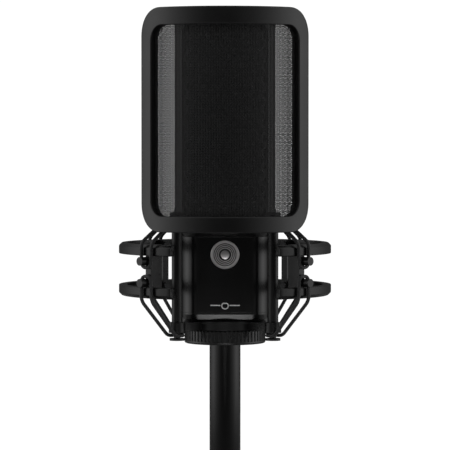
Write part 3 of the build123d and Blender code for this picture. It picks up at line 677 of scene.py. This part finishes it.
grille("front_grille", "frontGrille", 1)
grille("rear_grille", "rearGrille", -1)


# badge: turned disc with rings and a low dome
badge = {"rings": (3.3, 4.3, 5.3, 6.3), "groove": 0.26 * mm, "field": 0.18 * mm, "floor": 0.42 * mm,
         "dome": 2.6 * mm, "domeDrop": 0.35 * mm, "rim": 0.7 * mm, "segments": 96}


def badgeDisc():
    low, high = lowest("badge"), highest("badge")
    radius, face = (high.x - low.x) / 2, low.y
    thick = high.y - low.y
    profile = [(0.0, 0.0)]
    dome = badge["dome"]
    for i in range(1, 7):
        t = pi / 2 * i / 6
        profile.append((dome * sin(t), badge["domeDrop"] * (1 - cos(t))))
    field, floor = badge["field"], badge["floor"]
    for ring in badge["rings"]:
        r, g = ring * mm, badge["groove"]
        profile += [(r - g, field), (r - g * 0.6, floor), (r + g * 0.6, floor), (r + g, field)]
    profile += [(radius - badge["rim"], field), (radius - 0.55 * mm, 0.02 * mm), (radius - 0.2 * mm, 0.0),
                (radius, 0.2 * mm), (radius, thick)]
    centre = middle("badge")
    n = badge["segments"]
    verts = [(centre.x, face + profile[0][1], centre.z)]
    turns = [(cos(2 * pi * k / n), sin(2 * pi * k / n)) for k in range(n)]
    for r, deep in profile[1:]:
        verts += [(centre.x + r * x, face + deep, centre.z + r * z) for x, z in turns]
    faces = [(0, 1 + k, 1 + (k + 1) % n) for k in range(n)]
    for i in range(len(profile) - 2):
        a, b = 1 + i * n, 1 + (i + 1) * n
        faces += [(a + k, a + (k + 1) % n, b + (k + 1) % n, b + k) for k in range(n)]
    faces.append(tuple(1 + (len(profile) - 2) * n + k for k in reversed(range(n))))
    piece = meshPiece("badgeDisc", verts, faces, "badge")
    piece.data.materials.append(finish["plastic"])
    for f in piece.data.polygons:  # painted shade: the groove floors take the dark plastic finish
        if f.center.y > face + 0.25 * mm and (f.center.xz - centre.xz).length < radius - 1 * mm:
            f.material_index = 1
    sharpen(piece, 25)
    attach(piece, "microphone")
    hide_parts("badge")

badgeDisc()


# printed mark: a plain pick-up pattern sign between two short lines
mark = {"below": 29.1 * mm, "heart": 1.8 * mm, "lift": 0.9 * mm, "segments": 48, "line": 0.3 * mm,
        "reach": 8.4 * mm, "gap": 2.6 * mm, "proud": 0.03 * mm, "sunk": 0.05 * mm}
bodyHalf, bodyBow = highest("base_cap").x, 1.3 * mm
bodyFace = lowest("base_cap").y


def onFace(x, z, proud):
    big = (bodyHalf * bodyHalf + bodyBow * bodyBow) / (2 * bodyBow)
    return (x, bodyFace + big - math.sqrt(big * big - x * x) - proud, z)


def printedMark():
    z0 = middle("badge").z - mark["below"]
    n = mark["segments"]
    heart = []
    for k in range(n):
        t = 2 * pi * k / n
        r = mark["heart"] * (1 - cos(t)) / 1.25
        heart.append((r * sin(t), z0 + mark["lift"] + r * cos(t)))
    strokes = [heart + [heart[0]]]
    for side in (-1, 1):
        strokes.append([(side * (mark["gap"] + (mark["reach"] - mark["gap"]) * i / 6), z0) for i in range(7)])
    verts, faces = [], []
    for line in strokes:
        base = len(verts)
        for i, (x, z) in enumerate(line):
            ax, az = line[max(i - 1, 0)]
            bx, bz = line[min(i + 1, len(line) - 1)]
            dx, dz = bx - ax, bz - az
            d = math.hypot(dx, dz) or 1
            nx, nz = -dz / d * mark["line"], dx / d * mark["line"]
            for proud in (mark["proud"], -mark["sunk"]):
                verts.append(onFace(x + nx, z + nz, proud))
                verts.append(onFace(x - nx, z - nz, proud))
        for i in range(len(line) - 1):
            a, b = base + 4 * i, base + 4 * (i + 1)
            faces += [(a, a + 1, b + 1, b), (a + 2, b + 2, b + 3, a + 3)]
            faces += [(a, b, b + 2, a + 2), (a + 1, a + 3, b + 3, b + 1)]
        first, last = base, base + 4 * (len(line) - 1)
        faces += [(first, first + 2, first + 3, first + 1), (last, last + 1, last + 3, last + 2)]
    piece = meshPiece("printedMark", verts, faces, "ink", smooth=False)
    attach(piece, "microphone")

printedMark()


# open rings, with every edge rounded
ringShape = {"wide": 4.7 * mm, "edge": 0.5 * mm, "chamfer": 1.7 * mm, "mouth": 29.9, "steps": 150}


def openRing(node, name, chamferUp):
    low, high = lowest(node), highest(node)
    outer = (high.x - low.x) / 2
    inner = outer - ringShape["wide"]
    # the ring's own section, anticlockwise, as (radius, height, rounding)
    z0, z1, c = low.z, high.z, ringShape["chamfer"]
    e = ringShape["edge"]
    section = [(inner, z0, e), (outer, z0, e), (outer, z1 - c, e), (outer - c, z1, e), (inner, z1, e)]
    if not chamferUp:
        section = [(r, z0 + z1 - z, k) for r, z, k in reversed(section)]
    outline = []
    n = len(section)
    for i, (r, z, k) in enumerate(section):
        pr, pz, _ = section[i - 1]
        qr, qz, _ = section[(i + 1) % n]
        dp, dq = math.hypot(pr - r, pz - z), math.hypot(qr - r, qz - z)
        a = (r + (pr - r) / dp * k, z + (pz - z) / dp * k)
        b = (r + (qr - r) / dq * k, z + (qz - z) / dq * k)
        for s in range(4):
            f = s / 3
            outline.append(((1 - f) ** 2 * a[0] + 2 * f * (1 - f) * r + f * f * b[0],
                            (1 - f) ** 2 * a[1] + 2 * f * (1 - f) * z + f * f * b[1]))
    m = len(outline)
    centreR = sum(p[0] for p in outline) / m
    centreZ = sum(p[1] for p in outline) / m
    steps, mouth = ringShape["steps"], radians(ringShape["mouth"])
    edgeAngle = e / outer
    # each end shrinks in two steps, which rounds its rim
    shrink = e / ringShape["wide"]
    first, last = mouth + edgeAngle, 2 * pi - mouth - edgeAngle
    stations = [(mouth, 1 - 2 * shrink), (mouth + edgeAngle * 0.3, 1 - 0.6 * shrink), (first, 1.0)]
    stations += [(first + (last - first) * i / steps, 1.0) for i in range(1, steps)]
    stations += [(last, 1.0), (2 * pi - mouth - edgeAngle * 0.3, 1 - 0.6 * shrink),
                 (2 * pi - mouth, 1 - 2 * shrink)]
    verts = []
    for angle, scale in stations:
        for r, z in outline:
            rr, zz = centreR + (r - centreR) * scale, centreZ + (z - centreZ) * scale
            verts.append((micAxis.x + rr * sin(angle), micAxis.y - rr * cos(angle), zz))
    faces = gridFaces(len(stations), m, False, True)
    faces += [tuple(range(m)), tuple(reversed(range((len(stations) - 1) * m, len(stations) * m)))]
    piece = meshPiece(name, verts, faces, "frame")
    sharpen(piece, 40)
    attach(piece, "outer_frame")
    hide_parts(node)

openRing("upper_ring", "upperRing", True)
openRing("lower_ring", "lowerRing", False)
print("rings turned")


# elastic bands: braided cord in closed loops, stretched from the pegs to the posts
cord = {"radius": 1.02 * mm, "weaveDepth": 0.09 * mm, "strands": 8, "lay": 7.5 * mm, "sides": 16,
        "step": 0.45 * mm, "inset": 1.1 * mm, "overRing": 1.25 * mm, "pastRing": 1.0 * mm,
        "capReach": 4.3 * mm, "neckHalf": 3.05 * mm, "outHalf": 4.2 * mm, "pegHalf": 3.65 * mm,
        "postRing": 38.6 * mm}


# closed polyline with each corner replaced by a short curve
def roundCorners(points, radii, steps=7):
    out, n = [], len(points)
    for i in range(n):
        p, a, b = points[i], points[i - 1], points[(i + 1) % n]
        ra = min(radii[i], (a - p).length * 0.48)
        rb = min(radii[i], (b - p).length * 0.48)
        s, e = p + (a - p).normalized() * ra, p + (b - p).normalized() * rb
        for k in range(steps + 1):
            f = k / steps
            out.append(s * (1 - f) ** 2 + p * (2 * f * (1 - f)) + e * f * f)
    return out


def resampled(points, step):
    loop = points + [points[0]]
    lengths = [(loop[i + 1] - loop[i]).length for i in range(len(points))]
    total = sum(lengths)
    count = max(8, int(total / step))
    out, i, gone = [], 0, 0.0
    for k in range(count):
        want = total * k / count
        while gone + lengths[i] < want:
            gone += lengths[i]
            i += 1
        out.append(loop[i].lerp(loop[i + 1], (want - gone) / lengths[i]))
    return out, total


def band(station, azimuth, upper):
    node = ("band_upper_" if upper else "band_lower_") + station
    low, high = lowest(node), highest(node)
    c = cord
    outR = highest("upper_ring").x + c["overRing"]
    if upper:
        seat, corner = high.z - c["inset"], highest("upper_ring").z + c["pastRing"]
        peg = low.z + c["inset"]
    else:
        seat, corner = low.z + c["inset"], lowest("lower_ring").z - c["pastRing"]
        peg = high.z - c["inset"]
    a = radians(azimuth)
    outward, sideways = Vector((sin(a), -cos(a), 0)), Vector((cos(a), sin(a), 0))

    def place(u, v, z):
        return micAxis + outward * u + sideways * v + Vector((0, 0, z))

    # one side of the loop as (outward, sideways, height, corner radius in mm)
    half = [(c["postRing"] - c["neckHalf"], c["neckHalf"], seat, 2.8),
            (c["postRing"] + c["capReach"], c["neckHalf"] + 0.2 * mm, seat, 2.4),
            (outR, c["outHalf"], corner, 3.2), (outR, c["pegHalf"], peg, 3.4)]
    loop = [place(u, v, z) for u, v, z, r in half] + [place(u, -v, z) for u, v, z, r in reversed(half)]
    radii = [r * mm for *_, r in half] + [r * mm for *_, r in reversed(half)]
    line, total = resampled(roundCorners(loop, radii), c["step"])
    n, sides = len(line), c["sides"]
    tangents = [(line[(i + 1) % n] - line[i - 1]).normalized() for i in range(n)]
    side = tangents[0].cross(Vector((0, 0, 1)))
    if side.length < 0.1:
        side = tangents[0].cross(outward)
    side.normalize()
    frames = []
    for t in tangents:
        side = (side - t * side.dot(t)).normalized()
        frames.append((side.copy(), t.cross(side)))
    # twist left over when the loop closes is spread along it
    endSide = (frames[-1][0] - tangents[0] * frames[-1][0].dot(tangents[0])).normalized()
    left = math.atan2(endSide.dot(frames[0][1]), endSide.dot(frames[0][0]))
    turns = round(total / c["lay"])
    verts = []
    for i, p in enumerate(line):
        s, u = frames[i]
        fix = -left * i / n
        for k in range(sides):
            t = 2 * pi * k / sides
            around, along = c["strands"] / 2 * t, 4 * pi * turns * i / n
            lift = cos(around + along) * cos(around - along)
            r = c["radius"] + c["weaveDepth"] * (abs(lift) - 0.5)
            w = t + fix
            verts.append(tuple(p + s * (r * cos(w)) + u * (r * sin(w))))
    piece = meshPiece("band" + ("Upper" if upper else "Lower") + station.title().replace("_", ""),
                      verts, gridFaces(n, sides, True, True), "braid")
    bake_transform(piece)
    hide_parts(node)


stationAzimuth = {"front_left": -45, "front_right": 45, "rear_left": -138, "rear_right": 138}
for station, azimuth in stationAzimuth.items():
    for upper in (True, False):
        band(station, azimuth, upper)
print("bands strung")
